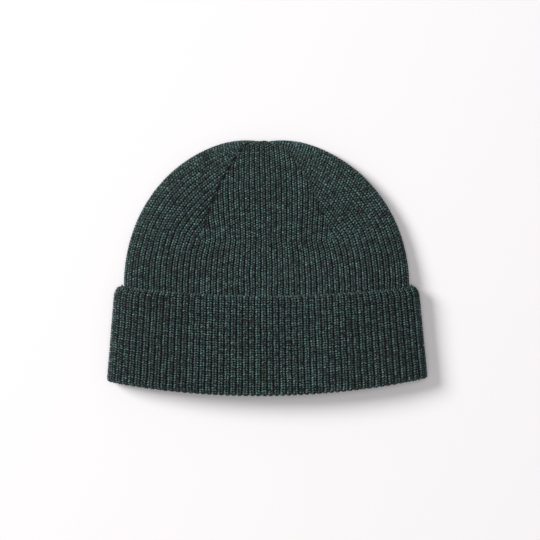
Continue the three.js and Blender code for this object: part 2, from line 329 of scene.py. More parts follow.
def straight_courses(front, cuff):
    """Courses of the body or the cuff below the first decrease, bowed up to their ends.

    A course's end lies on the outline, higher than its middle by a bow that grows towards the mouth
    and, as a power of the height, towards the first decrease.
    """
    front = np.asarray(front, float)
    below = np.clip(-front, 0, None) / BODY_LENGTH
    above = np.clip(front, 0, None) / DECREASE_START
    _, first_height = outline_at(OUTLINE_ANGLES[0])
    bow = BOW_AT_BASE + (BOW_AT_MOUTH - BOW_AT_BASE) * below
    bow += (first_height - DECREASE_START - BOW_AT_BASE) * above**BOW_GROWTH
    end = front + bow
    base, top = body_loft(np.minimum(front, FREE_EDGE) if cuff else front)
    if cuff:
        base, top = base - KNIT - CLEARANCE, top + KNIT + CLEARANCE
    return Courses(
        front=front,
        ribs=np.full_like(front, RIBS_PER_WEDGE),
        corner=FRONT_SHARE * body_half_width(end),
        side=body_half_width(end),
        height=end,
        wedged=smooth(WEDGE_ONSET, 1, above),
        tilt=MOUTH_TILT * below,
        base=base,
        top=top,
        layer=np.full_like(front, 1.0 if cuff else 0.0),
    )


def dome_courses(progress):
    """Courses of the dome by progress from the first decrease, 0, to the last one, 1.

    The ribs left in a wedge fall in step with progress. The front wedge is level, and each side wedge
    runs up from its corner to a point of the outline that turns towards the tip.
    """
    progress = np.asarray(progress, float)
    ribs = mix(RIBS_PER_WEDGE, RIBS_AT_TIP, progress)
    climbed = progress + DECREASE_BULGE * progress * (1 - progress)
    front = mix(DECREASE_START, DOME_LENGTH - LAST_DECREASE_TO_TIP, climbed)
    first_side, _ = outline_at(OUTLINE_ANGLES[0])
    pitch = 2 * FRONT_SHARE * first_side / RIBS_PER_WEDGE
    pitch = pitch + RIB_SPREAD * np.sin(np.pi * progress) - RIB_CLOSING * progress
    side, height = outline_at(mix(*OUTLINE_ANGLES, 1 - (1 - progress) ** OUTLINE_TURN))
    base, top = body_loft(front)
    return Courses(
        front=front,
        ribs=ribs,
        corner=ribs * pitch / 2,
        side=side,
        height=height,
        wedged=np.ones_like(front),
        tilt=np.zeros_like(front),
        base=base,
        top=top,
        layer=np.zeros_like(front),
    )


def tip_oval(width, angle, depth):
    """Points of a flat oval round the cap's tip, at a depth below its top edge."""
    base, top = body_loft(DOME_LENGTH)
    x = width / 2 * np.sin(angle) - lean_at(DOME_LENGTH)
    y = DOME_LENGTH - TIP_DIP - depth + ORIGIN_SHIFT + 0 * x
    z = mix(base, top, SIDE_HEIGHT_SHARE) + GATHER_FLATNESS * width / 2 * np.cos(angle)
    return np.stack([x, y, z], -1)


def corner_draw(front):
    """How far the cuff's side is drawn in at a front, as a quarter ellipse up to its free edge."""
    past = np.clip(1 - (FREE_EDGE - front) / CORNER_REACH, 0, 1)
    return CORNER_DRAW * (1 - np.sqrt(1 - past**2))


def lean_at(height):
    """How far to the left of the mouth's middle the cap's middle lies at a height."""
    drift = BODY_DRIFT * np.clip(1 + height / BODY_LENGTH, 0, 1)
    return drift + TIP_LEAN * np.clip(height / DOME_LENGTH, 0, None) ** 2


def dent_depth(side, height):
    depth = np.zeros_like(side)
    for dent in DENTS:
        across = side / HALF_CROWN - dent["side"]
        along = (height / DOME_LENGTH - dent["height"]) * (DOME_LENGTH / HALF_CROWN)
        depth += dent["depth"] * KNIT * np.exp(-(across**2 + along**2) / dent["reach"] ** 2)
    return depth


def lay(courses, angle, depth):
    """Points of courses at angles round them, and at a depth below the fabric's outer face.

    The angle is 0 at the front's middle and a quarter turn at the right side. Over the sheet, a
    point's plan place runs from the course's middle to its end with the sine of the angle. Its
    fullness is 0 on the base line's middle and 1 on the outline, and the sheet's height over the side
    edge is the loft times (1 - fullness to a power) to the inverse power. The depth draws the width,
    the length and the loft in. What would lie below the ground is pressed flat on it.
    """
    c = courses.spread(angle.ndim)
    share = np.clip(np.abs(np.sin(angle)), 0, 1)
    hand = np.sign(np.sin(angle))
    in_front = np.cos(angle) >= 0
    side = c.side * share
    rise = c.height - c.front
    past_corner = np.clip(side - c.corner, 0, None) / (c.side - c.corner)
    height = c.front + mix(rise * share**2, rise * past_corner, c.wedged)

    half = body_half_width(np.minimum(height, 0))
    across = (side / half) ** DOME_SQUARENESS
    along = (np.clip(height, 0, None) / DOME_LENGTH) ** DOME_SQUARENESS
    out = np.clip((across + along) ** (1 / DOME_SQUARENESS), 0, 1)
    standoff = CUFF_STANDOFF * np.clip(1 + height / BODY_LENGTH, 0, 1)
    extra = c.layer * (standoff + CLEARANCE + KNIT - corner_draw(c.front) * share**CORNER_FADE)
    side = side * (half + extra - depth) / half
    drawn = (DOME_LENGTH - depth) / DOME_LENGTH
    height = np.minimum(height, 0) + np.clip(height, 0, None) * drawn

    edge = mix(c.base, c.top, SIDE_HEIGHT_SHARE)
    power = np.where(in_front, FRONT_FULLNESS, REAR_FULLNESS)
    round_ = (1 - out**power) ** (1 / power)
    over = edge + (c.top - depth - edge) * round_ - dent_depth(hand * side, height) * round_
    under = edge - (edge - c.base - depth) * round_
    up = np.clip(height, 0, None) / DOME_LENGTH
    dip = TIP_DIP * up**TIP_DIP_FADE * np.exp(-((side / TIP_DIP_REACH) ** 2))
    x = hand * side - lean_at(height)
    y = height + c.tilt * hand * share - dip + ORIGIN_SHIFT
    z = np.clip(np.where(in_front, over, under), 0, None)
    return np.stack(np.broadcast_arrays(x, y, z), -1)


ARC_SAMPLES = 160


def wedge_angles(courses, shares):
    """Angles round each course at shares of the length of each wedge's arc: courses, wedges, shares."""
    corner = np.arcsin(np.clip(courses.corner / courses.side, 0, 1))
    turns = (-corner, corner, np.pi - corner, np.pi + corner, 2 * np.pi - corner)
    ends = np.stack(turns, 1)
    steps = np.linspace(0, 1, ARC_SAMPLES + 1)
    angles = mix(ends[:, :-1, None], ends[:, 1:, None], steps)
    points = lay(courses, angles, 0.0)
    chords = np.linalg.norm(np.diff(points, axis=2), axis=3)
    lengths = np.concatenate([np.zeros_like(chords[:, :, :1]), np.cumsum(chords, 2)], 2)
    lengths /= lengths[:, :, -1:]
    shares = np.broadcast_to(shares, ends[:, :-1].shape + shares.shape[-1:])
    found = np.empty(shares.shape)
    for k in range(found.shape[0]):
        for wedge in range(WEDGES):
            found[k, wedge] = np.interp(shares[k, wedge], lengths[k, wedge], angles[k, wedge])
    return found


def rib_angles(courses, halves):
    """Angles at which places on the ribs lie, in half ribs from their wedge's middle.

    A place lies at (half + ribs) / (2 ribs) of the arc of its wedge. Ribs that the decreases have
    taken off lie on the wedge's corner.
    """
    ribs = courses.ribs[:, None, None]
    return wedge_angles(courses, np.clip((halves + ribs) / (2 * ribs), 0, 1))


def unit(vectors):
    return vectors / np.maximum(np.linalg.norm(vectors, axis=-1, keepdims=True), 1e-12)


# Meshes


def wrapped_grid(rows, columns, ringed):
    """Faces of a grid that closes round its columns, and the column and row of each face corner, as
    they are and over the unit square.

    Ringed rows close on each other. Otherwise a fan closes each end to a point, which is numbered
    after the grid and lies a row beyond it, halfway between two columns.
    """
    r, c = np.meshgrid(np.arange(rows if ringed else rows - 1), np.arange(columns), indexing="ij")
    r2, c2 = (r + 1) % rows, (c + 1) % columns
    quads = np.stack([r * columns + c, r * columns + c2, r2 * columns + c2, r2 * columns + c], -1)
    faces = [quads.reshape(-1, 4)]
    places = [np.stack([c, r, c + 1, r, c + 1, r + 1, c, r + 1], -1).reshape(-1, 4, 2)]
    if not ringed:
        k = np.arange(columns)
        after = (k + 1) % columns
        base = (rows - 1) * columns
        end = np.full(columns, rows * columns)
        low_fan = np.stack([after, k, end], 1)
        high_fan = np.stack([base + k, base + after, end + 1], 1)
        faces.append(np.concatenate([low_fan, high_fan]))
        low, high = 0 * k, 0 * k + rows - 1
        low_places = np.stack([k + 1, low, k, low, k + 0.5, low - 1], -1)
        high_places = np.stack([k, high, k + 1, high, k + 0.5, high + 1], -1)
        places.append(np.concatenate([low_places, high_places]).reshape(-1, 3, 2))
    first, steps = (0, rows) if ringed else (1, rows + 1)
    shares = [(part + (0, first)) / (columns, steps) for part in places]
    return faces, places, shares


def one_list(parts):
    """The last axes of several arrays as one list."""
    return np.concatenate([part.reshape(-1, part.shape[-1]) for part in parts])


def add_mesh(name, points, faces, uv_maps, values):
    """A smooth-shaded object from points and a list of face arrays, with UV maps and point values.

    A UV map is a name and an array of one place for each face corner. A value is a name and an array
    of one number for each point.
    """
    mesh = bpy.data.meshes.new(name)
    loops = np.concatenate([f.ravel() for f in faces])
    sizes = np.concatenate([np.full(len(f), f.shape[1]) for f in faces])
    starts = np.concatenate([[0], np.cumsum(sizes)[:-1]])
    mesh.vertices.add(len(points))
    mesh.vertices.foreach_set("co", np.ascontiguousarray(points, np.float32).ravel())
    mesh.loops.add(len(loops))
    mesh.loops.foreach_set("vertex_index", loops.astype(np.int32))
    mesh.polygons.add(len(sizes))
    mesh.polygons.foreach_set("loop_start", starts.astype(np.int32))
    mesh.update(calc_edges=True)
    for map_name, places in uv_maps:
        layer = mesh.uv_layers.new(name=map_name)
        layer.data.foreach_set("uv", np.ascontiguousarray(places, np.float32).ravel())
    for value_name, numbers in values:
        attribute = mesh.attributes.new(value_name, "FLOAT", "POINT")
        attribute.data.foreach_set("value", np.ascontiguousarray(numbers, np.float32))
    mesh.polygons.foreach_set("use_smooth", np.ones(len(sizes), bool))
    mesh.validate()
    mesh.update()
    piece = bpy.data.objects.new(name, mesh)
    bpy.context.scene.collection.objects.link(piece)
    return piece


def finish_piece(piece, material, node):
    """Gives a piece its material and its place on the cap's body, and hides the solid part it stands for."""
    piece.data.materials.append(material)
    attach(piece, "root")
    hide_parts(node)


# Stitches


def grain_template(rings, sides):
    """A closed grain of yarn from -1 to 1 along Y, thickest in the middle.

    Rings of points stand at even steps of the sine along it. Each is a circle of radius
    (1 - place to the power 2.2) to the power 0.75. A point closes each end. Returns points, faces and
    the shares round and along of each face corner.
    """
    along = np.sin(np.linspace(-np.pi / 2, np.pi / 2, rings + 2))[1:-1, None]
    radius = (1 - np.abs(along) ** 2.2) ** 0.75
    turn = 2 * np.pi * np.arange(sides) / sides
    circles = np.stack(np.broadcast_arrays(radius * np.cos(turn), along, radius * np.sin(turn)), -1)
    points = np.concatenate([circles.reshape(-1, 3), [(0.0, -1.0, 0.0), (0.0, 1.0, 0.0)]])
    faces, _, shares = wrapped_grid(rings, sides, False)
    return points, [part[:, ::-1] for part in faces], [part[:, ::-1] for part in shares]


@dataclass
class Legs:
    """Legs of stitches as arrays of one length: middles, three directions, and so on.

    Size is the half-width, half-length and half-thickness. Crease points out of the nearest groove
    along a decrease and is as long as the groove is strong. Toward is the direction of the groove over
    the width of half a rib, and way is how far off it lies, in half ribs.
    """

    place: np.ndarray
    across: np.ndarray
    along: np.ndarray
    out: np.ndarray
    size: np.ndarray
    tone: np.ndarray
    crease: np.ndarray
    toward: np.ndarray
    way: np.ndarray


def add_legs(name, detail, legs, full):
    """One mesh of many legs, each the grain of yarn stretched along its own three directions.

    A leg is bent up in an arch, 1 - place squared. Its points sink into the nearest groove by
    exp(-(way / reach) squared) times the crease, with the way counted from each point and none
    beyond the groove. Painted shade darkens the colour: full is how far a point on top comes out of it,
    and points low on the leg, near its ends and down in a groove get more of it. Each leg has its own cell in
    the atlas map.
    """
    points, faces, shares = grain_template(*detail)
    count = len(legs.place)
    local = points * legs.size[:, None]
    local[:, :, 2] += LEG_ARCH * (1 - points[:, 1] ** 2) * legs.size[:, 2:]
    moved = (
        local[:, :, :1] * legs.across[:, None]
        + local[:, :, 1:2] * legs.along[:, None]
        + local[:, :, 2:] * legs.out[:, None]
    )
    nearer = np.einsum("gpc,gc->gp", moved, legs.toward)
    near = np.exp(-(np.maximum((legs.way[:, None] - nearer) / GROOVE_REACH, 0) ** 2))
    moved += legs.place[:, None] - GROOVE_DEPTH * near[:, :, None] * legs.crease[:, None]
    moved[:, :, 2] = np.maximum(moved[:, :, 2], 0)

    offset = (np.arange(count) * len(points))[:, None, None]
    cells = math.ceil(math.sqrt(count))
    cell = np.stack([np.arange(count) % cells, np.arange(count) // cells], -1)[:, None, None]
    yarn = [np.broadcast_to(part, (count,) + part.shape) for part in shares]
    atlas = [(part * (1 - 2 * CELL_MARGIN) + CELL_MARGIN + cell) / cells for part in yarn]
    # Painted shade on each point: darker on the leg's lower side and toward its ends
    lift = np.clip(points[:, 2] * 0.5 + 0.5, 0, 1) * (1 - END_PAINTED_SHADE * np.abs(points[:, 1]) ** 2.5)
    # More painted shade down in a groove along a decrease, on top of the top's own share
    shown = full * (1 - GROOVE_PAINTED_SHADE * near * np.linalg.norm(legs.crease, axis=1)[:, None])
    values = [("tone", np.repeat(legs.tone, len(points))), ("lift", (lift * shown).ravel())]
    uv_maps = [("OFBake", one_list(atlas)), ("Yarn", one_list(yarn))]
    all_faces = [one_list([part + offset]) for part in faces]
    return add_mesh(name, moved.reshape(-1, 3), all_faces, uv_maps, values)


RIB_TOPS = np.arange(1 - RIBS_PER_WEDGE, RIBS_PER_WEDGE, 2)

# How far a rib's legs lie off its top, in half ribs
LEG_GATHER = 0.42

# How much a leg arches and sinks into its rib, as shares of its half-height, its least length, and its
# height, both in thicknesses
LEG_ARCH = 0.55
LEG_SINK = 1.15
LEAST_LENGTH = 1.3
LEG_HEIGHT = 1.1

# How far a leg strays in size along its three directions, and in place along its rib
SIZE_JITTER = (0.6, 0.6, 0.8)
PLACE_JITTER = 0.4

# How much painted shade darkens a leg at its ends and down in a groove, and the margin of its cell in the
# atlas
END_PAINTED_SHADE = 0.6
GROOVE_PAINTED_SHADE = 0.8
CELL_MARGIN = 0.05

# How far the tone strays with the stitch, with a run of stitches round a course, and with the leg
STITCH_TONE = 0.5
RUN_TONE = 0.2
RUN_LENGTH = 5
LEG_TONE = 1.1

# Waves that the stray of a rib's line is the sum of, and their lengths in millimetres
WAVES = 7
SHORTEST_WAVE = 9
LONGEST_WAVE = 60

# Rings and sides of a grain: finest on the wedge that faces the camera, coarsest underneath
GRAIN_DETAIL = {"front": (4, 7), "right": (3, 6), "rear": (2, 5), "left": (3, 6)}


def wander(rows, length, seed):
    """How far each rib's line strays at each row, as a sum of sines along it with random phases.

    Neighbouring ribs stray together: each rib's waves are averaged with those of the ribs beside it.
    """
    rng = np.random.default_rng(seed)
    ribs = WEDGES * RIBS_PER_WEDGE
    along = np.linspace(0, length, rows)[:, None, None]
    waves = 2 * np.pi * rng.uniform(1 / LONGEST_WAVE, 1 / SHORTEST_WAVE, (1, ribs, WAVES)) / MM
    phases = rng.uniform(0, 2 * np.pi, (1, ribs, WAVES))
    stray = np.sin(along * waves + phases).mean(2) * 2
    stray = 0.5 * stray + 0.25 * np.roll(stray, 1, 1) + 0.25 * np.roll(stray, -1, 1)
    return stray.reshape(rows, WEDGES, RIBS_PER_WEDGE)


def closing_rows(last, places):
    """Rows that lead the ribs from the last course over the top edge into the gather's seat.

    Each place moves along a line from the last course to the seat's oval rim with a bulge that is a
    sine over the way, and then along the oval as that narrows and sinks. Only half of the ribs go on
    beyond the fourth row.
    """
    wedge = np.arange(WEDGES)[:, None, None]
    turn = (wedge + np.clip(places / RIBS_AT_TIP, -1.3, 1.3) / 2) * np.pi / 2
    rim = tip_oval(SEAT_WIDTH, turn, RIB_DEPTH / 2)
    rows = []
    for share in np.linspace(0, 1, 7)[1:]:
        row = mix(last, rim, share)
        row[..., 1] += CLOSING_BULGE * math.sin(math.pi * share)
        rows.append(row)
    for share in np.linspace(0, 1, 5)[1:]:
        width, depth = mix(SEAT_WIDTH, 0.3 * SEAT_WIDTH, share), mix(RIB_DEPTH / 2, 0.6 * SEAT_DEPTH, share)
        rows.append(tip_oval(width, turn, depth))
    return np.array(rows)


def grooves_near(courses, places):
    """For places on the ribs: the side and the strength of the groove along the nearest decrease, and
    the way to it in half ribs."""
    progress = np.clip((courses.front - DECREASE_START) / (DOME_LENGTH - DECREASE_START), 0, 1)
    onset = smooth(DECREASE_START + 2 * MM, DECREASE_START + 16 * MM, courses.front)
    strength = mix(GROOVES[None, :, 0], GROOVES[None, :, 1], progress[:, None, None]) * onset[:, None, None]
    side = np.where(places < 0, strength[:, :, 0, None, None], strength[:, :, 1, None, None])
    way = courses.ribs[:, None, None, None] - np.abs(places)
    return np.stack([np.where(places < 0, -1.0, 1.0), side, way], -1)


def rib_tracks(courses, depth, overlap, stray, closing=False):
    """Tracks of the ribs' tops, their two legs and the grooves beside them, over all courses.

    The legs lie off the rib's top by LEG_GATHER, in half ribs. A rib that the decreases take off
    goes on along its wedge's corner for the overlap, in half ribs.
    Returns the points of five lines for each rib, the directions across them, the width of half a
    rib, for each course, wedge and rib whether it is still there, and the grooves near the lines.
    """
    offsets = np.array([-1, -LEG_GATHER, 0, LEG_GATHER, 1])
    places = (RIB_TOPS[:, None] + offsets)[None, None] + stray[..., None]
    angles = rib_angles(courses, places.reshape(len(stray), WEDGES, -1))
    deep = np.broadcast_to(np.asarray(depth, float).reshape(-1, 1, 1), angles.shape)
    grooves = grooves_near(courses, places) if closing else np.zeros(places.shape + (3,))
    points = lay(courses, angles, deep).reshape(places.shape + (3,))
    left = np.abs(RIB_TOPS) - overlap
    there = courses.ribs[:, None, None] >= np.broadcast_to(left, (WEDGES, RIBS_PER_WEDGE))
    if closing:
        rows = closing_rows(points[-1], places[-1])
        points = np.concatenate([points, rows])
        grooves = np.concatenate([grooves, np.repeat(grooves[-1:], len(rows), 0)])
        few = np.arange(len(rows))[:, None, None] > 3
        kept = np.abs(RIB_TOPS) < np.where(few, RIBS_AT_TIP / 2, RIBS_AT_TIP)
        kept = np.broadcast_to(kept, (len(rows),) + there.shape[1:])
        there = np.concatenate([there, kept])
    across = points[..., 4, :] - points[..., 0, :]
    width = np.linalg.norm(across, axis=-1) / 2
    return points, unit(across), width, there, grooves


def smooth_runs(noise, length):
    """Noise averaged along its last axis over runs of a length, scaled back to a spread of 1."""
    padded = np.concatenate([noise, noise[..., : length - 1]], -1)
    runs = np.lib.stride_tricks.sliding_window_view(padded, length, axis=-1).mean(-1)
    return runs / runs.std()


@dataclass
class Posture:
    """How the legs of a fabric lie, with one thickness and one cover for each wedge.

    Crook is 1 where the stitches stand upright and -1 where they hang upside down. Full is how far
    the colour of a leg's top comes out of the painted shade.
    """

    thickness: tuple
    cover: tuple
    slant: float
    skew: float
    roll: float
    stagger: float
    crook: int
    full: float


def rows_on_ribs(wedge, rows_up, there):
    """Spots of all stitches on a wedge's ribs, one at the middle of each whole row, and their rows.

    A spot is the track's row below it, the wedge, the rib, and the share of the way to the next row.
    """
    at, ribs, rows = [], [], []
    for rib in range(RIBS_PER_WEDGE):
        line = rows_up[:, wedge, rib]
        last = np.flatnonzero(there[:, wedge, rib])[-1]
        middles = np.arange(0.5, line[last], 1.0)
        at.append(np.interp(middles, line[: last + 1], np.arange(last + 1)))
        ribs.append(np.full(len(middles), rib))
        rows.append(np.arange(len(middles)))
    at, ribs, rows = map(np.concatenate, (at, ribs, rows))
    low = np.minimum(at.astype(int), len(rows_up) - 2)
    return (low, wedge, ribs, at - low), rows


def pick(values, spots):
    """Values of the tracks at spots, between the rows below and above."""
    low, wedge, ribs, share = spots
    share = share.reshape((-1,) + (1,) * (values.ndim - 3))
    return mix(values[low, wedge, ribs], values[low + 1, wedge, ribs], share)


def turned(first, second, angle):
    """Two directions that are square to each other, both turned by an angle in their plane."""
    return first * np.cos(angle) - second * np.sin(angle), second * np.cos(angle) + first * np.sin(angle)


def legs_on(hand, spots, tone, tracks, pitch, posture, settings, rng):
    """The left legs, hand -1, or the right ones, hand 1, of the stitches at spots.

    A leg lies on its side of the rib, turns down to that side by the roll, leans off the rib's line by
    the slant and to the right by the skew, and dives under the next stitch. The right one stands above
    the left by the stagger.
    """
    points, across, width, _, grooves = tracks
    wedge = spots[1]
    line = points[..., 2 + hand, :]
    half_rib = pick(width, spots)
    row_height = pick(pitch, spots)
    side_way = unit(pick(across, spots))
    tangent = unit(pick(np.gradient(line, axis=0), spots))
    out = unit(np.cross(side_way, tangent))
    flat = unit(np.cross(tangent, out))
    rolled, rolled_out = turned(flat, out, hand * posture.roll)
    slant = hand * posture.crook * posture.slant + posture.skew
    slant = slant + rng.normal(0, settings.unevenness, len(half_rib))
    wide, level = turned(rolled, tangent, slant[:, None])
    lean, top = turned(level, rolled_out, posture.crook * settings.leg_dive)

    jitter = 1 + rng.normal(0, settings.unevenness, (len(half_rib), 3)) * SIZE_JITTER
    thick = posture.thickness[wedge] * row_height
    reach = (posture.cover[wedge] * half_rib) ** 2 - (thick * math.cos(posture.slant)) ** 2
    long = np.sqrt(np.maximum(reach, 0)) / math.sin(posture.slant)
    size = 0.5 * np.stack([thick, np.maximum(long, LEAST_LENGTH * thick), LEG_HEIGHT * thick], 1) * jitter
    stray = rng.normal(0, PLACE_JITTER * settings.unevenness, len(half_rib))
    shift = (stray + 0.5 * hand * posture.stagger) * row_height
    place = pick(line, spots) - rolled_out * LEG_SINK * size[:, 2:] + tangent * shift[:, None]

    side, strength, way = pick(grooves[..., 2 + hand, :], spots).T
    toward = side_way * (side / half_rib)[:, None]
    return Legs(place, wide, lean, top, size, tone, out * strength[:, None], toward, way)


def knit_ribs(prefix, tracks, pitch, posture, settings, material, node, seed):
    """Places two legs for each row of each rib along its track, and makes one piece for each wedge.

    A rib's rows stand at even steps of the length along it, divided by the local row pitch.
    """
    points, _, _, there, _ = tracks
    steps = np.linalg.norm(np.diff(points[..., 2, :], axis=0), axis=-1)
    local_pitch = 0.5 * (pitch[1:] + pitch[:-1])
    rows_up = np.concatenate([np.zeros((1,) + steps.shape[1:]), np.cumsum(steps / local_pitch, 0)])
    rng = np.random.default_rng(seed)
    tones = rng.normal(size=(int(rows_up.max()) + 2, WEDGES * RIBS_PER_WEDGE))
    tones = STITCH_TONE * tones + RUN_TONE * smooth_runs(tones, RUN_LENGTH)
    for wedge, wedge_name in enumerate(WEDGE_NAMES):
        spots, rows = rows_on_ribs(wedge, rows_up, there)
        tone = tones[rows, wedge * RIBS_PER_WEDGE + spots[2]]
        left, right = (legs_on(hand, spots, tone, tracks, pitch, posture, settings, rng) for hand in (-1, 1))
        legs = joined(left, right)
        legs.tone = legs.tone + LEG_TONE * rng.normal(size=len(legs.tone))
        piece = add_legs(f"{prefix}_{wedge_name}_stitches", GRAIN_DETAIL[wedge_name], legs, posture.full)
        finish_piece(piece, material, node)


# Wool


def new_group(name, inputs, outputs):
    """A shader node group with named sockets, and its input and output nodes."""
    group = bpy.data.node_groups.new(name, "ShaderNodeTree")
    for socket_name, kind, default in inputs:
        socket = group.interface.new_socket(name=socket_name, in_out="INPUT", socket_type=kind)
        socket.default_value = default
    for socket_name, kind in outputs:
        group.interface.new_socket(name=socket_name, in_out="OUTPUT", socket_type=kind)
    return group, group.nodes.new("NodeGroupInput"), group.nodes.new("NodeGroupOutput")


class Tree:
    """Short ways to add and join nodes in one node tree."""

    def __init__(self, tree):
        self.tree = tree

    def feed(self, node, sockets):
        for key, value in sockets.items():
            if isinstance(value, bpy.types.NodeSocket):
                self.tree.links.new(value, node.inputs[key])
            else:
                node.inputs[key].default_value = value

    def add(self, kind, sockets=None, **options):
        node = self.tree.nodes.new(kind)
        for key, value in options.items():
            setattr(node, key, value)
        self.feed(node, sockets or {})
        return node

    def math(self, operation, a, b=0.0, c=0.0, clamp=False):
        node = self.add("ShaderNodeMath", {0: a, 1: b, 2: c}, operation=operation, use_clamp=clamp)
        return node.outputs[0]

    def noise(self, vector, scale, detail, roughness):
        sockets = {"Vector": vector, "Scale": scale, "Detail": detail, "Roughness": roughness}
        return self.add("ShaderNodeTexNoise", sockets).outputs["Fac"]

    def blend(self, share, a, b):
        node = self.add("ShaderNodeMix", data_type="RGBA")
        self.feed(node, {0: share, 6: a, 7: b})
        return node.outputs[2]

    def spread(self, value, low, high, to_low=0.0, to_high=1.0):
        sockets = {"Value": value, "From Min": low, "From Max": high, "To Min": to_low, "To Max": to_high}
        return self.add("ShaderNodeMapRange", sockets).outputs["Result"]


# Grains of the wool's noises for each metre, the grain and winding of the streaks along a leg, and how
# far a stitch's tone moves them
COARSE_FIBRES = 1500.0
FINE_FIBRES = 2800.0
FUZZ = 4200.0
STRANDS = 900.0
FLECKS = 1200.0
PATCHES = 240.0
STREAKS = 1.7
WINDING = 1.6
TONE_SHIFT = 13.0


def colour4(colour):
    return (*colour, 1.0)


def heather_group():
    """Colour of heathered wool: fibres between dark and light by stitch, by streaks and by fine noise.

    The streaks are noise on a circle round the yarn that winds on along it, from the yarn's own map.
    Tone moves a whole stitch along that range. Painted shade comes over it: the painted lighting takes
    the colour from the deep colour, painted shade between the ribs and low on the legs, to full
    colour on top, and flecks of the warm fibre show where a further noise peaks.
    """
    inputs = [
        ("Deep", "NodeSocketColor", (0.01, 0.01, 0.01, 1)),
        ("Dark", "NodeSocketColor", (0.02, 0.03, 0.03, 1)),
        ("Light", "NodeSocketColor", (0.07, 0.11, 0.1, 1)),
        ("Cool", "NodeSocketColor", (0.07, 0.1, 0.11, 1)),
        ("Fleck", "NodeSocketColor", (0.05, 0.04, 0.03, 1)),
        ("Tone", "NodeSocketFloat", 0.0),
        ("Lift", "NodeSocketFloat", 1.0),
    ]
    group, given, result = new_group("Heathered wool", inputs, [("Colour", "NodeSocketColor")])
    t = Tree(group)
    where = t.add("ShaderNodeTexCoord").outputs["Object"]
    yarn = t.add("ShaderNodeSeparateXYZ", {"Vector": t.add("ShaderNodeUVMap", uv_map="Yarn").outputs["UV"]})
    turned = t.math("MULTIPLY", t.math("ADD", yarn.outputs["X"], yarn.outputs["Y"]), 2 * math.pi)
    wound = t.math("MULTIPLY", yarn.outputs["Y"], WINDING)
    passed = t.math("MULTIPLY_ADD", given.outputs["Tone"], TONE_SHIFT, wound)
    winding = {"X": t.math("COSINE", turned), "Y": t.math("SINE", turned), "Z": passed}
    streaks = t.noise(t.add("ShaderNodeCombineXYZ", winding).outputs["Vector"], STREAKS, 2.0, 0.6)
    coarse = t.noise(where, COARSE_FIBRES, 1.0, 0.5)
    fine = t.noise(where, FINE_FIBRES, 2.0, 0.7)
    patches = t.noise(where, PATCHES, 2.0, 0.6)
    tone = t.math("MULTIPLY", given.outputs["Tone"], 0.15)
    share = t.math("ADD", t.spread(coarse, 0.3, 0.7, -0.45, 0.45), tone)
    share = t.math("ADD", share, t.spread(fine, 0.35, 0.65, -0.4, 0.4))
    share = t.math("ADD", share, t.spread(streaks, 0.32, 0.68, -0.5, 0.5))
    share = t.math("ADD", share, t.spread(patches, 0.35, 0.65, 0.28, 0.36), clamp=True)
    strands = t.spread(t.noise(where, STRANDS, 1.0, 0.5), 0.38, 0.62)
    light = t.blend(strands, given.outputs["Light"], given.outputs["Cool"])
    colour = t.blend(share, given.outputs["Dark"], light)
    warm = t.spread(t.noise(where, FLECKS, 0.0, 0.5), 0.58, 0.72, 0.0, 0.8)
    colour = t.blend(warm, colour, given.outputs["Fleck"])
    # Painted shade: low values blend the colour into the deep colour
    lit_share = t.spread(given.outputs["Lift"], 0.44, 0.97)
    colour = t.blend(lit_share, given.outputs["Deep"], colour)
    t.feed(result, {"Colour": colour})
    return group


def twist_group():
    """Height of yarn: ridges of its plies running round it, from the yarn's own map, with fine fuzz."""
    inputs = [("Plies", "NodeSocketFloat", 3.0), ("Turns", "NodeSocketFloat", 1.6)]
    group, given, result = new_group("Twisted plies", inputs, [("Height", "NodeSocketFloat")])
    t = Tree(group)
    yarn = t.add("ShaderNodeUVMap", uv_map="Yarn").outputs["UV"]
    split = t.add("ShaderNodeSeparateXYZ", {"Vector": yarn})
    turns = t.math("MULTIPLY", split.outputs["Y"], given.outputs["Turns"])
    around = t.math("ADD", split.outputs["X"], turns)
    wave = t.math("MULTIPLY", t.math("MULTIPLY", around, given.outputs["Plies"]), 2 * math.pi)
    ridges = t.math("ABSOLUTE", t.math("SINE", wave))
    where = t.add("ShaderNodeTexCoord").outputs["Object"]
    fuzz = t.noise(where, FUZZ, 2.0, 0.7)
    t.feed(result, {"Height": t.math("MULTIPLY_ADD", fuzz, 0.8, ridges)})
    return group


def relief_group():
    """Height of plain rib fabric from its own map, in ribs across and rows along.

    Each rib has two legs that lean off its line, so the rows' sine is shifted with the distance from
    the rib's line, and a groove runs between the ribs.
    """
    group, given, result = new_group("Rib relief", [], [("Height", "NodeSocketFloat")])
    t = Tree(group)
    knit = t.add("ShaderNodeUVMap", uv_map="Yarn").outputs["UV"]
    split = t.add("ShaderNodeSeparateXYZ", {"Vector": knit})
    off_line = t.math("ABSOLUTE", t.math("SUBTRACT", t.math("FRACT", split.outputs["X"]), 0.5))
    rows = t.math("MULTIPLY_ADD", off_line, 1.1, split.outputs["Y"])
    loops = t.math("ABSOLUTE", t.math("SINE", t.math("MULTIPLY", rows, math.pi)))
    legs = t.math("SINE", t.math("MULTIPLY", off_line, 2 * math.pi))
    t.feed(result, {"Height": t.math("MULTIPLY", loops, legs)})
    return group


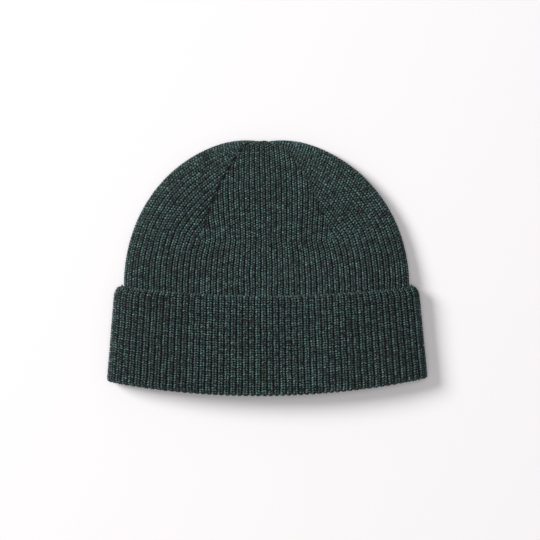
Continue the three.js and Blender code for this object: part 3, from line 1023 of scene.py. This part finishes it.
def wool_material(name, yarn, groups, height_group, depth):
    """Wool with the heather's colour and a bump of the given height group, of a depth in metres."""
    material = bpy.data.materials.new(name)
    material.use_nodes = True
    tree = material.node_tree
    tree.nodes.clear()
    t = Tree(tree)
    heather = t.add("ShaderNodeGroup", node_tree=groups["heather"])
    tone = t.add("ShaderNodeAttribute", attribute_name="tone").outputs["Fac"]
    # Each point's painted shade, read from its own value
    lift = t.add("ShaderNodeAttribute", attribute_name="lift").outputs["Fac"]
    colours = {key.title(): colour4(getattr(yarn, key)) for key in ("deep", "dark", "light", "cool", "fleck")}
    t.feed(heather, {**colours, "Tone": tone, "Lift": lift})
    relief = t.add("ShaderNodeGroup", node_tree=groups[height_group])
    bump = t.add("ShaderNodeBump", {"Height": relief.outputs["Height"], "Strength": 1.0, "Distance": depth})
    shader = t.add(
        "ShaderNodeBsdfPrincipled",
        {
            "Base Color": heather.outputs["Colour"],
            "Normal": bump.outputs["Normal"],
            "Roughness": yarn.roughness,
            "Sheen Weight": yarn.sheen,
            "Sheen Roughness": 0.6,
            "Specular IOR Level": 0.12,
        },
    )
    out = t.add("ShaderNodeOutputMaterial")
    tree.links.new(shader.outputs["BSDF"], out.inputs["Surface"])
    return material


def node_groups():
    made = {"heather": "Heathered wool", "twist": "Twisted plies", "relief": "Rib relief"}
    makers = {"heather": heather_group, "twist": twist_group, "relief": relief_group}
    return {key: bpy.data.node_groups.get(name) or makers[key]() for key, name in made.items()}


def yarn_material(context):
    name = "Wool yarn"
    found = bpy.data.materials.get(name)
    return found or wool_material(name, context.scene.beanie_yarn, node_groups(), "twist", 0.09 * MM)


def fabric_material(context):
    name = "Wool fabric"
    found = bpy.data.materials.get(name)
    return found or wool_material(name, context.scene.beanie_yarn, node_groups(), "relief", 0.5 * MM)


# Fabric beds


def add_bed(name, rings, row_marks, lift, material, node, ends=None):
    """A closed wall from rings of points, which close on each other or end in a point at each end.

    Its yarn map counts ribs round it and the row marks along it.
    """
    count, columns = rings.shape[:2]
    faces, places, shares = wrapped_grid(count, columns, ends is None)
    points = rings.reshape(-1, 3)
    # Each ring's painted shade, given to all its points
    lighting_values = np.repeat(lift, columns)
    if ends is not None:
        points = np.concatenate([points, ends])
        lighting_values = np.append(lighting_values, (lift[0], lift[-1]))
    column, row = one_list(places).T
    marks = np.concatenate([row_marks[:1], row_marks, row_marks[-1:]])[row.astype(int) + 1]
    yarn = np.stack([column / columns * WEDGES * RIBS_PER_WEDGE, marks], -1)
    values = [("tone", np.zeros(len(points))), ("lift", lighting_values)]
    piece = add_mesh(name, points, faces, [("OFBake", one_list(shares)), ("Yarn", yarn)], values)
    finish_piece(piece, material, node)


BED_COLUMNS = 2 * RIBS_PER_WEDGE
# How far the wool's colour comes out of the painted shade: on the bed between the ribs nearly not at all, on
# the cap's inside halfway
BED_PAINTED_LIGHTING = 0.05
INNER_PAINTED_LIGHTING = 0.55
INNER_RELIEF = 0.8 * MM


def bed_rings(courses, depth, relief):
    """Rings of points round courses, two for each rib of the straight body, at a depth, with every
    second point moved in by the relief, which lies between two ribs of that side."""
    angles = wedge_angles(courses, np.arange(BED_COLUMNS) / BED_COLUMNS)
    deep = np.asarray(depth, float).reshape(-1, 1, 1) + np.zeros_like(angles)
    rib = np.asarray(relief, float).reshape(-1, 1, 1) * (np.arange(BED_COLUMNS) % 2)
    points = lay(courses, angles, deep + rib)
    return points.reshape(len(courses.front), -1, 3)


def seat_ring(last, share):
    """A ring of the fabric's bed between its last course and the gather's seat, by share of the way."""
    turn = (np.arange(len(last)) / len(last) - 0.125) * 2 * np.pi
    rim = tip_oval(SEAT_WIDTH - 2.4 * MM, turn, 1.6 * MM)
    return mix(last, rim, share)


class BEANIE_OT_crown_fabric(bpy.types.Operator):
    """Make the wall of the crown and body, which the stitches lie on"""

    bl_idname = "beanie.crown_fabric"
    bl_label = "Crown fabric"

    def execute(self, context):
        settings = context.scene.beanie_knit
        lower = LEG_LENGTH - BODY_LENGTH + CLEARANCE
        shown = FREE_EDGE - 2 * KNIT
        straight = np.concatenate([[lower, shown - 4 * MM], np.linspace(shown, DECREASE_START, 16)[:-1]])
        outer = joined(straight_courses(straight, False), dome_courses(np.linspace(0, 1, 34)))
        depth = np.where(outer.front < shown, 0.0, settings.bed_depth)
        outer_rings = bed_rings(outer, depth, 0)
        inner_front = np.linspace(lower, DECREASE_START, 26)[:-1]
        inner = joined(straight_courses(inner_front, False), dome_courses(np.linspace(0, 1, 20)))
        fade = INNER_RELIEF * (1 - smooth(0, DECREASE_START, inner.front))
        inner_rings = bed_rings(inner, KNIT, -fade)[::-1]
        seat = np.array([seat_ring(outer_rings[-1], share) for share in (0.35, 0.7, 1.0)])
        rings = np.concatenate([inner_rings, outer_rings, seat])
        seat_marks = np.full(len(seat), outer.front[-1])
        marks = np.concatenate([inner.front[::-1], outer.front, seat_marks]) / settings.row_pitch
        # Painted shade: the inside half dark, the bed between the ribs nearly the deep colour
        lift = np.where(np.arange(len(rings)) < len(inner_rings), INNER_PAINTED_LIGHTING, BED_PAINTED_LIGHTING)
        ends = np.stack([tip_oval(0, 0.0, SEAT_DEPTH + KNIT / 2), tip_oval(0, 0.0, SEAT_DEPTH + 0.4 * MM)])
        material = fabric_material(context)
        add_bed("crown_fabric", rings, marks, lift, material, "crown", ends)
        return {"FINISHED"}


def crown_tracks(settings):
    """Tracks of the crown's ribs from under the cuff to the tip, with each course's row pitch."""
    straight = np.linspace(FREE_EDGE - 2.2 * KNIT, DECREASE_START, 44)[:-1]
    courses = joined(straight_courses(straight, False), dome_courses(np.linspace(0, 1, 90)))
    rows = len(courses.front)
    calm = np.clip((DOME_LENGTH - courses.front) / (14 * MM), 0, 1)[:, None, None]
    stray = settings.wander * calm * wander(rows, FREE_EDGE + 115 * MM, 5)
    tracks = rib_tracks(courses, 0.0, 0.8, stray, closing=True)
    front = np.append(courses.front, np.full(len(tracks[0]) - rows, DOME_LENGTH))
    dome = smooth(0, 1.2 * DECREASE_START, front)[:, None, None]
    sides = np.array([0.0, 1.0, 0.0, 1.0])[None, :, None]
    pitch = mix(settings.row_pitch, settings.side_row_pitch, dome * sides)
    return tracks, np.broadcast_to(pitch, tracks[0].shape[:3])


class BEANIE_OT_crown_stitches(bpy.types.Operator):
    """Knit the crown's ribs, two legs for every stitch, with the four wedges narrowing to the tip"""

    bl_idname = "beanie.crown_stitches"
    bl_label = "Crown stitches"

    def execute(self, context):
        settings = context.scene.beanie_knit
        tracks, pitch = crown_tracks(settings)
        posture = Posture(
            thickness=2 * (settings.crown_leg_thickness, settings.side_leg_thickness),
            cover=2 * (settings.leg_cover, settings.side_leg_cover),
            slant=settings.crown_leg_slant,
            skew=settings.crown_skew,
            roll=settings.crown_leg_roll,
            stagger=settings.crown_stagger,
            crook=1,
            # The crown's leg tops keep a little painted shade
            full=0.905,
        )
        material = yarn_material(context)
        knit_ribs("crown", tracks, pitch, posture, settings, material, "crown", 11)
        return {"FINISHED"}


def cuff_section(samples):
    """The way across the cuff's fabric: its turn inside, the fold, the outer layer and the free edge.

    Returns the course's front and the depth at each sample, evenly spaced by length.
    """
    fold = -BODY_LENGTH
    turn = np.linspace(np.pi, 0, 24)
    edge = np.linspace(0, np.pi, 12)
    half = KNIT / 2
    front = [np.linspace(fold + LEG_LENGTH, fold + FOLD_RADIUS, 8)[:-1]]
    depth = [np.full_like(front[0], 2 * FOLD_RADIUS)]
    front.append(fold + FOLD_RADIUS * (1 - np.sin(turn)))
    depth.append(FOLD_RADIUS * (1 - np.cos(turn)))
    front.append(np.linspace(fold + FOLD_RADIUS, FREE_EDGE - half, 60)[1:-1])
    depth.append(np.zeros_like(front[-1]))
    front.append(FREE_EDGE - half + half * np.sin(edge))
    depth.append(half * (1 - np.cos(edge)))
    front.append(np.linspace(FREE_EDGE - half, FREE_EDGE - 4 * half, 6)[1:])
    depth.append(np.full_like(front[-1], KNIT))
    front, depth = np.concatenate(front), np.concatenate(depth)
    length = np.concatenate([[0], np.cumsum(np.hypot(np.diff(front), np.diff(depth)))])
    even = np.linspace(0, length[-1], samples)
    return np.interp(even, length, front), np.interp(even, length, depth)


class BEANIE_OT_cuff_fabric(bpy.types.Operator):
    """Make the wall of the turned-up cuff, from its turn inside the mouth to its free edge"""

    bl_idname = "beanie.cuff_fabric"
    bl_label = "Cuff fabric"

    def execute(self, context):
        settings = context.scene.beanie_knit
        fold = -BODY_LENGTH
        bed = settings.bed_depth
        slot_end = fold + KNIT
        inner_leg = np.linspace(fold + LEG_LENGTH, fold + FOLD_RADIUS, 6)
        turn = np.linspace(np.pi, 0, 9)[1:-1]
        radius = FOLD_RADIUS - 0.5 * bed
        outer = np.linspace(fold + FOLD_RADIUS, FREE_EDGE - bed, 20)
        front = np.concatenate([inner_leg, fold + FOLD_RADIUS - radius * np.sin(turn), outer])
        inner_depth = np.full_like(inner_leg, 2 * FOLD_RADIUS - 0.4 * bed)
        outer_depth = np.full_like(outer, bed)
        depth = np.concatenate([inner_depth, FOLD_RADIUS - radius * np.cos(turn), outer_depth])
        front = np.append(front, [FREE_EDGE - bed, slot_end, slot_end, fold + LEG_LENGTH])
        depth = np.append(depth, [KNIT, KNIT, KNIT + CLEARANCE, KNIT + CLEARANCE])
        inside = np.arange(len(front)) < len(inner_leg)
        rings = bed_rings(straight_courses(front, True), depth, np.where(inside, -INNER_RELIEF, 0.0))
        # Painted shade: the inside half dark, the bed between the ribs nearly the deep colour
        lift = np.where(inside, INNER_PAINTED_LIGHTING, BED_PAINTED_LIGHTING)
        marks = np.arange(len(front)) * 2.0
        material = fabric_material(context)
        add_bed("cuff_fabric", rings, marks, lift, material, "cuff")
        return {"FINISHED"}


class BEANIE_OT_cuff_stitches(bpy.types.Operator):
    """Knit the cuff's ribs, upside down to the crown's, round the fold and over the free edge"""

    bl_idname = "beanie.cuff_stitches"
    bl_label = "Cuff stitches"

    def execute(self, context):
        settings = context.scene.beanie_knit
        front, depth = cuff_section(150)
        courses = straight_courses(front, True)
        stray = settings.wander * wander(len(front), 100 * MM, 6)
        tracks = rib_tracks(courses, depth, 0, stray)
        pitch = np.full(tracks[0].shape[:3], settings.row_pitch)
        posture = Posture(
            thickness=WEDGES * (settings.cuff_leg_thickness,),
            cover=WEDGES * (settings.leg_cover,),
            slant=settings.cuff_leg_slant,
            skew=0.0,
            roll=settings.cuff_leg_roll,
            stagger=settings.cuff_stagger,
            crook=-1,
            full=1.0,
        )
        material = yarn_material(context)
        knit_ribs("cuff", tracks, pitch, posture, settings, material, "cuff", 23)
        return {"FINISHED"}


# The closing gather


TUBE_SIDES = 8
# How far the gather's yarn comes out of the painted shade
TUBE_PAINTED_LIGHTING = 0.9
TUBE_POINTS_PER_STREAK = 8
OFF_THE_PATHS = (0.31, 0.17, 0.93)


def add_tube(name, path, radius, ringed, tone, material):
    """A round tube of the gather's yarn along a path that closes on itself or ends in two points.

    The section is carried along by the least turning: at each point its first direction is the last
    one made square to the path again.
    """
    step = np.roll(path, -1, 0) - np.roll(path, 1, 0) if ringed else np.gradient(path, axis=0)
    tangent = unit(step)
    across = [unit(np.cross(tangent[0], OFF_THE_PATHS))]
    for way in tangent[1:]:
        across.append(unit(across[-1] - way * np.dot(across[-1], way)))
    across = np.array(across)[:, None]
    other = np.cross(tangent, across[:, 0])[:, None]
    turn = 2 * np.pi * np.arange(TUBE_SIDES)[:, None] / TUBE_SIDES
    rings = path[:, None] + radius * (across * np.cos(turn) + other * np.sin(turn))
    points = rings.reshape(-1, 3)
    if not ringed:
        ends = path[[0, -1]] + 0.6 * radius * tangent[[0, -1]] * ((-1,), (1,))
        points = np.concatenate([points, ends])
    faces, places, shares = wrapped_grid(len(path), TUBE_SIDES, ringed)
    yarn = one_list(places) / (TUBE_SIDES, TUBE_POINTS_PER_STREAK)
    values = [("tone", np.full(len(points), tone)), ("lift", np.full(len(points), TUBE_PAINTED_LIGHTING))]
    piece = add_mesh(name, points, faces, [("OFBake", one_list(shares)), ("Yarn", yarn)], values)
    finish_piece(piece, material, "closing_gather")


class BEANIE_OT_closing_gather(bpy.types.Operator):
    """Draw the last stitches together at the tip with a ring of yarn and its tied end"""

    bl_idname = "beanie.closing_gather"
    bl_label = "Closing gather"

    def execute(self, context):
        turn = np.linspace(0, 2 * np.pi, 97)[:-1]
        loops = 8
        wave = np.cos(loops * turn)
        width = GATHER_WIDTH * (0.66 + 0.16 * wave)
        depth = GATHER_SINK + 0.35 * MM * np.sin(loops * turn)
        path = tip_oval(width, turn, depth)
        material = yarn_material(context)
        add_tube("gather_ring", path, 0.42 * MM, True, 0.3, material)
        along = np.linspace(0, 1, 24)
        twist = along * 4.5 * np.pi
        knot = tip_oval(1.6 * MM * (0.4 + 0.6 * np.sin(np.pi * along)), twist, GATHER_SINK - 0.5 * MM * along)
        add_tube("gather_knot", knot, 0.4 * MM, False, -0.4, material)
        return {"FINISHED"}


# Stage


FLOOR_HALF = 3.0
KEY_PLACE = (-3.6, 1.75, 2.8)
KEY_SIZE = 2.2
TOP_PLACE = (0.0, 0.0, 3.0)
TOP_SIZE = 1.6

# The picture's middle off the cap's middle, in pixels of the photograph, and its width
PHOTO_MIDDLE = (2.6, -2.2)
PHOTO_WIDTH = 540
SENSOR_WIDTH = 36.0


class BEANIE_OT_stage(bpy.types.Operator):
    """Set the pale floor, the soft light and the camera straight over the cap"""

    bl_idname = "beanie.stage"
    bl_label = "Stage"

    def execute(self, context):
        settings = context.scene.beanie_stage
        self.floor(settings)
        self.lights(context, settings)
        self.camera(context, settings)
        context.scene.view_settings.view_transform = "Standard"
        return {"FINISHED"}

    def floor(self, settings):
        corners = [(-1, -1), (1, -1), (1, 1), (-1, 1)]
        mesh = bpy.data.meshes.new("floor")
        mesh.from_pydata([(x * FLOOR_HALF, y * FLOOR_HALF, 0) for x, y in corners], [], [(0, 1, 2, 3)])
        floor = bpy.data.objects.new("floor", mesh)
        bpy.context.scene.collection.objects.link(floor)
        material = bpy.data.materials.new("Pale ground")
        material.use_nodes = True
        shader = material.node_tree.nodes["Principled BSDF"]
        shader.inputs["Base Color"].default_value = colour4(settings.floor_colour)
        shader.inputs["Roughness"].default_value = 0.9
        shader.inputs["Specular IOR Level"].default_value = 0.1
        mesh.materials.append(material)

    def lights(self, context, settings):
        self.disk_light(context, "key", KEY_PLACE, KEY_SIZE, settings.key_power)
        self.disk_light(context, "top", TOP_PLACE, TOP_SIZE, settings.top_power)
        world = bpy.data.worlds.new("Studio")
        world.use_nodes = True
        background = world.node_tree.nodes["Background"]
        background.inputs["Color"].default_value = (1.0, 1.0, 1.0, 1.0)
        background.inputs["Strength"].default_value = settings.fill_strength
        context.scene.world = world

    def disk_light(self, context, name, location, size, power):
        data = bpy.data.lights.new(name, "AREA")
        data.shape = "DISK"
        data.size = size
        data.energy = power
        light = bpy.data.objects.new(name, data)
        light.location = location
        light.rotation_euler = (-light.location).to_track_quat("-Z", "Y").to_euler()
        context.scene.collection.objects.link(light)

    def camera(self, context, settings):
        pixel = settings.view_width / PHOTO_WIDTH
        middle = [part * pixel for part in PHOTO_MIDDLE]
        level = 10 * MM
        data = bpy.data.cameras.new("camera")
        data.sensor_width = SENSOR_WIDTH
        data.lens = data.sensor_width * settings.view_distance / settings.view_width
        camera = bpy.data.objects.new("camera", data)
        camera.location = (*middle, level + settings.view_distance)
        context.scene.collection.objects.link(camera)
        context.scene.camera = camera


class BEANIE_PT_panel(bpy.types.Panel):
    """Lists the cap's sizes, colours and pieces."""

    bl_idname = "BEANIE_PT_panel"
    bl_label = "Ribbed beanie"
    bl_space_type = "VIEW_3D"
    bl_region_type = "UI"
    bl_category = "Beanie"

    def draw(self, context):
        scene = context.scene
        for settings in (scene.beanie_knit, scene.beanie_yarn, scene.beanie_stage):
            for name in settings.bl_rna.properties.keys():
                if name not in ("rna_type", "name"):
                    self.layout.prop(settings, name)
        for operator in OPERATORS:
            self.layout.operator(operator.bl_idname)


OPERATORS = (
    BEANIE_OT_stage,
    BEANIE_OT_crown_fabric,
    BEANIE_OT_crown_stitches,
    BEANIE_OT_cuff_fabric,
    BEANIE_OT_cuff_stitches,
    BEANIE_OT_closing_gather,
)
CLASSES = (BeanieKnitSettings, BeanieYarnSettings, BeanieStageSettings, *OPERATORS, BEANIE_PT_panel)


def register():
    for item in CLASSES:
        bpy.utils.register_class(item)
    bpy.types.Scene.beanie_knit = bpy.props.PointerProperty(type=BeanieKnitSettings)
    bpy.types.Scene.beanie_yarn = bpy.props.PointerProperty(type=BeanieYarnSettings)
    bpy.types.Scene.beanie_stage = bpy.props.PointerProperty(type=BeanieStageSettings)


def unregister():
    del bpy.types.Scene.beanie_stage
    del bpy.types.Scene.beanie_yarn
    del bpy.types.Scene.beanie_knit
    for item in reversed(CLASSES):
        bpy.utils.unregister_class(item)


def main():
    register()
    for operator in OPERATORS:
        module, name = operator.bl_idname.split(".")
        getattr(getattr(bpy.ops, module), name)()


if __name__ == "__main__":
    main()
